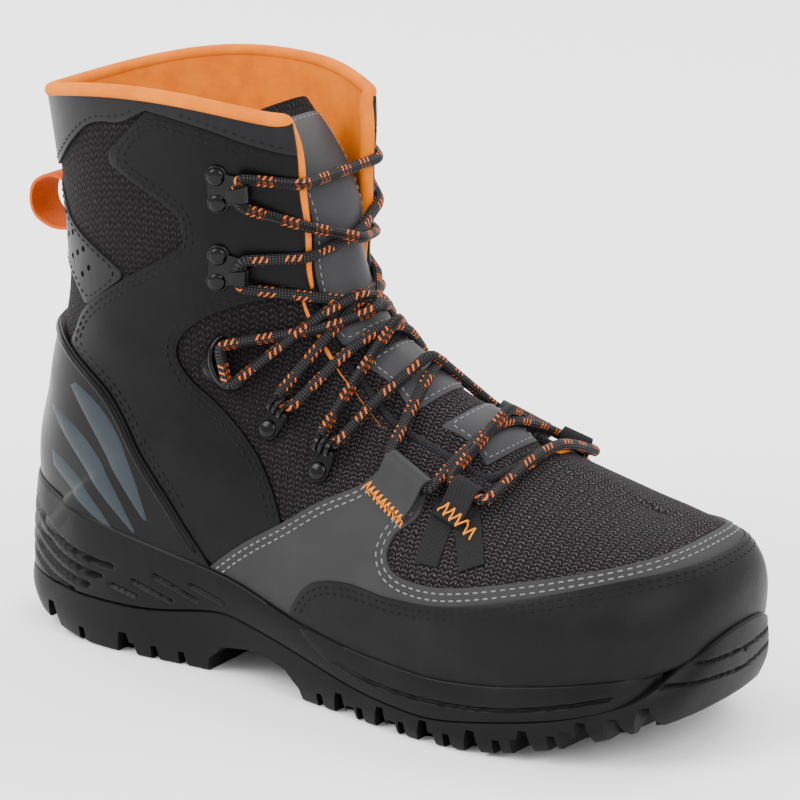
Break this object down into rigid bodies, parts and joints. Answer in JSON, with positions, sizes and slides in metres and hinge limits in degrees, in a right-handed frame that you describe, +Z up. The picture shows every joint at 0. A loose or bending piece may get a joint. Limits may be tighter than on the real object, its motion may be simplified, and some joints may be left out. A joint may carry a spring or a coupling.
{
  "type": "wading boot",
  "caption": "Ankle-high lace-up wading boot with a lugged rubber sole, rubber toe rand and heel counter, padded cuff and tongue, webbing and metal lace eyelets, and a heel pull loop.",
  "frame": {"origin": "on the floor, under the middle of the heel's seat, on the boot's centre line", "axes": "+X towards the toe, +Y towards the wearer's left (the inner side of this right boot), +Z up"},
  "size_m": [0.3135, 0.1297, 0.2178],
  "materials": {
    "upper_lining": "matte",
    "midsole_rubber": "satin",
    "outsole_rubber": "matte",
    "rand_rubber": "matte",
    "counter_rubber": "satin",
    "overlay_grey": "matte",
    "quarter_black": "satin",
    "cuff_padding": "matte",
    "footbed": "matte",
    "tongue_fabric": "matte",
    "loop_webbing": "matte",
    "lace_cord": "matte",
    "eyelet_webbing": "matte",
    "eyelet_metal": "gloss"
  },
  "bodies": {
    "root": {"upper": "upper_lining", "midsole": "midsole_rubber", "outsole": "outsole_rubber", "rand": "rand_rubber", "counter": "counter_rubber", "vamp_overlay": "overlay_grey", "quarter_lateral": "quarter_black", "quarter_medial": "quarter_black", "cuff": "cuff_padding", "insole": "footbed", "tongue": "tongue_fabric", "pull_loop": "loop_webbing", "lace": "lace_cord", "loop_low_lateral": "eyelet_webbing", "loop_low_medial": "eyelet_webbing", "loop_high_lateral": "eyelet_webbing", "loop_high_medial": "eyelet_webbing", "ring_low_lateral": "eyelet_metal", "ring_low_medial": "eyelet_metal", "ring_high_lateral": "eyelet_metal", "ring_high_medial": "eyelet_metal", "lock_hook_lateral": "eyelet_metal", "lock_hook_medial": "eyelet_metal", "hook_low_lateral": "eyelet_metal", "hook_low_medial": "eyelet_metal", "hook_high_lateral": "eyelet_metal", "hook_high_medial": "eyelet_metal"}
  },
  "joints": []
}
